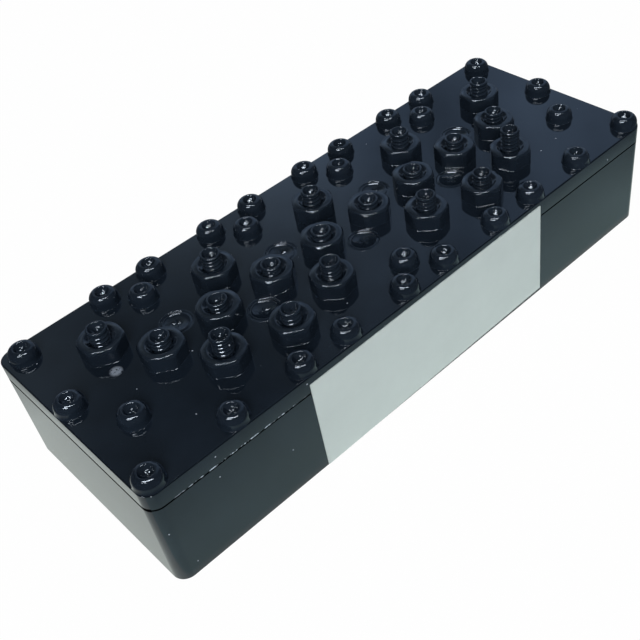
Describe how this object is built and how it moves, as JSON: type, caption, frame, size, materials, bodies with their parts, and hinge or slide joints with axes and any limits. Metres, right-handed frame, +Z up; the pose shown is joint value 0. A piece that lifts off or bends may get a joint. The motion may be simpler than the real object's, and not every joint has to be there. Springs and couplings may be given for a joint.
{
  "type": "coaxial cavity bandpass filter",
  "caption": "Flat painted metal block with rows of lock-nutted tuning screws in a screwed cover, milled cavities inside and coaxial jacks at the back.",
  "frame": {"origin": "centre of the block's flat base face", "axes": "+X along the block's length from the input jack to the output jack, +Y towards the back face with the jacks, +Z up through the cover; the label is on the face towards -Y"},
  "size_m": [0.0984, 0.0456, 0.0236],
  "materials": {
    "gloss_black_paint": "thick glossy black paint",
    "silver_plate": "silver-plated brass",
    "stainless_steel": "passivated stainless steel",
    "white_insulator": "machined white fluoropolymer",
    "gold_plate": "gold-plated",
    "label_film": "bare satin film"
  },
  "bodies": {
    "block": {"housing": "gloss_black_paint", "cover": "gloss_black_paint", "resonator_1": "silver_plate", "resonator_2": "silver_plate", "resonator_3": "silver_plate", "resonator_4": "silver_plate", "resonator_5": "silver_plate", "resonator_6": "silver_plate", "resonator_7": "silver_plate", "resonator_8": "silver_plate", "resonator_9": "silver_plate", "lock_nut_1": "gloss_black_paint", "lock_nut_2": "gloss_black_paint", "lock_nut_3": "gloss_black_paint", "lock_nut_4": "gloss_black_paint", "lock_nut_5": "gloss_black_paint", "lock_nut_6": "gloss_black_paint", "lock_nut_7": "gloss_black_paint", "lock_nut_8": "gloss_black_paint", "lock_nut_9": "gloss_black_paint", "lock_nut_10": "gloss_black_paint", "lock_nut_11": "gloss_black_paint", "lock_nut_12": "gloss_black_paint", "lock_nut_13": "gloss_black_paint", "lock_nut_14": "gloss_black_paint", "lock_nut_15": "gloss_black_paint", "lock_nut_16": "gloss_black_paint", "lock_nut_17": "gloss_black_paint", "lock_nut_18": "gloss_black_paint", "lock_nut_19": "gloss_black_paint", "pan_head_screws": "gloss_black_paint", "countersunk_screws": "gloss_black_paint", "input_jack_shell": "stainless_steel", "input_insulator": "white_insulator", "input_contact": "gold_plate", "output_jack_shell": "stainless_steel", "output_insulator": "white_insulator", "output_contact": "gold_plate", "flange_screws": "stainless_steel", "label": "label_film"},
    "tuning_screw_1_body": {"tuning_screw_1": "gloss_black_paint"},
    "tuning_screw_2_body": {"tuning_screw_2": "gloss_black_paint"},
    "tuning_screw_3_body": {"tuning_screw_3": "gloss_black_paint"},
    "tuning_screw_4_body": {"tuning_screw_4": "gloss_black_paint"},
    "tuning_screw_5_body": {"tuning_screw_5": "gloss_black_paint"},
    "tuning_screw_6_body": {"tuning_screw_6": "gloss_black_paint"},
    "tuning_screw_7_body": {"tuning_screw_7": "gloss_black_paint"},
    "tuning_screw_8_body": {"tuning_screw_8": "gloss_black_paint"},
    "tuning_screw_9_body": {"tuning_screw_9": "gloss_black_paint"},
    "coupling_screw_1_body": {"coupling_screw_1": "gloss_black_paint"},
    "coupling_screw_2_body": {"coupling_screw_2": "gloss_black_paint"},
    "coupling_screw_3_body": {"coupling_screw_3": "gloss_black_paint"},
    "coupling_screw_4_body": {"coupling_screw_4": "gloss_black_paint"},
    "coupling_screw_5_body": {"coupling_screw_5": "gloss_black_paint"},
    "coupling_screw_6_body": {"coupling_screw_6": "gloss_black_paint"},
    "coupling_screw_7_body": {"coupling_screw_7": "gloss_black_paint"},
    "coupling_screw_8_body": {"coupling_screw_8": "gloss_black_paint"},
    "cross_coupling_screw_1_body": {"cross_coupling_screw_1": "gloss_black_paint"},
    "cross_coupling_screw_2_body": {"cross_coupling_screw_2": "gloss_black_paint"}
  },
  "joints": [
    {"name": "tuning_screw_1_travel", "type": "slide", "parent": "block", "child": "tuning_screw_1_body", "axis": [0, 0, 1], "range_m": [-0.001, 0.0015]},
    {"name": "tuning_screw_2_travel", "type": "slide", "parent": "block", "child": "tuning_screw_2_body", "axis": [0, 0, 1], "range_m": [-0.001, 0.0015]},
    {"name": "tuning_screw_3_travel", "type": "slide", "parent": "block", "child": "tuning_screw_3_body", "axis": [0, 0, 1], "range_m": [-0.001, 0.0015]},
    {"name": "tuning_screw_4_travel", "type": "slide", "parent": "block", "child": "tuning_screw_4_body", "axis": [0, 0, 1], "range_m": [-0.001, 0.0015]},
    {"name": "tuning_screw_5_travel", "type": "slide", "parent": "block", "child": "tuning_screw_5_body", "axis": [0, 0, 1], "range_m": [-0.001, 0.0015]},
    {"name": "tuning_screw_6_travel", "type": "slide", "parent": "block", "child": "tuning_screw_6_body", "axis": [0, 0, 1], "range_m": [-0.001, 0.0015]},
    {"name": "tuning_screw_7_travel", "type": "slide", "parent": "block", "child": "tuning_screw_7_body", "axis": [0, 0, 1], "range_m": [-0.001, 0.0015]},
    {"name": "tuning_screw_8_travel", "type": "slide", "parent": "block", "child": "tuning_screw_8_body", "axis": [0, 0, 1], "range_m": [-0.001, 0.0015]},
    {"name": "tuning_screw_9_travel", "type": "slide", "parent": "block", "child": "tuning_screw_9_body", "axis": [0, 0, 1], "range_m": [-0.001, 0.0015]},
    {"name": "coupling_screw_1_travel", "type": "slide", "parent": "block", "child": "coupling_screw_1_body", "axis": [0, 0, 1], "range_m": [-0.001, 0.0015]},
    {"name": "coupling_screw_2_travel", "type": "slide", "parent": "block", "child": "coupling_screw_2_body", "axis": [0, 0, 1], "range_m": [-0.001, 0.0015]},
    {"name": "coupling_screw_3_travel", "type": "slide", "parent": "block", "child": "coupling_screw_3_body", "axis": [0, 0, 1], "range_m": [-0.001, 0.0015]},
    {"name": "coupling_screw_4_travel", "type": "slide", "parent": "block", "child": "coupling_screw_4_body", "axis": [0, 0, 1], "range_m": [-0.001, 0.0015]},
    {"name": "coupling_screw_5_travel", "type": "slide", "parent": "block", "child": "coupling_screw_5_body", "axis": [0, 0, 1], "range_m": [-0.001, 0.0015]},
    {"name": "coupling_screw_6_travel", "type": "slide", "parent": "block", "child": "coupling_screw_6_body", "axis": [0, 0, 1], "range_m": [-0.001, 0.0015]},
    {"name": "coupling_screw_7_travel", "type": "slide", "parent": "block", "child": "coupling_screw_7_body", "axis": [0, 0, 1], "range_m": [-0.001, 0.0015]},
    {"name": "coupling_screw_8_travel", "type": "slide", "parent": "block", "child": "coupling_screw_8_body", "axis": [0, 0, 1], "range_m": [-0.001, 0.0015]},
    {"name": "cross_coupling_screw_1_travel", "type": "slide", "parent": "block", "child": "cross_coupling_screw_1_body", "axis": [0, 0, 1], "range_m": [-0.001, 0.0015]},
    {"name": "cross_coupling_screw_2_travel", "type": "slide", "parent": "block", "child": "cross_coupling_screw_2_body", "axis": [0, 0, 1], "range_m": [-0.001, 0.0015]}
  ]
}
